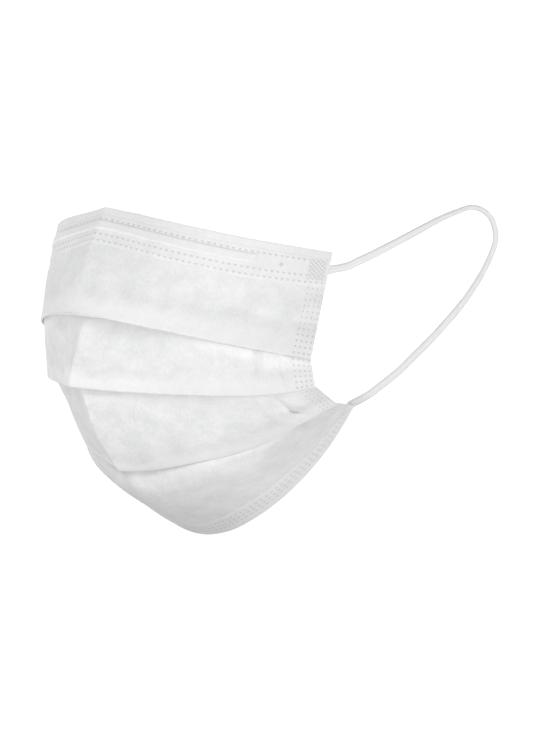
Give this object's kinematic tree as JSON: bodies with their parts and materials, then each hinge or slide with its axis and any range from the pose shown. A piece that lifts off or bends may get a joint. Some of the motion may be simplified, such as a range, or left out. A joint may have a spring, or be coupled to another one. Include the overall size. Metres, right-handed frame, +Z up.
{
  "type": "surgical face mask",
  "caption": "White pleated face mask in its worn, open shape, with knife pleats, folded hems, a raised nose wire channel and an elastic ear loop welded to the corners on each side.",
  "frame": {"origin": "top of the centre crease, where the mask sits on the bridge of the nose", "axes": "+Z up, the wearer looks along -Y, and the wearer's left is +X"},
  "size_m": [0.1632, 0.1469, 0.1254],
  "materials": {
    "spunbond": "matt non-woven polypropylene with fine point bonds",
    "nose_wire": "satin, white plastic round a thin wire",
    "elastic": "matt knitted elastic, slightly warmer than the cloth"
  },
  "bodies": {
    "root": {"mask_panel": "spunbond", "top_hem": "spunbond", "bottom_hem": "spunbond", "nose_wire": "nose_wire", "ear_loop_left": "elastic", "ear_loop_right": "elastic"}
  },
  "joints": []
}
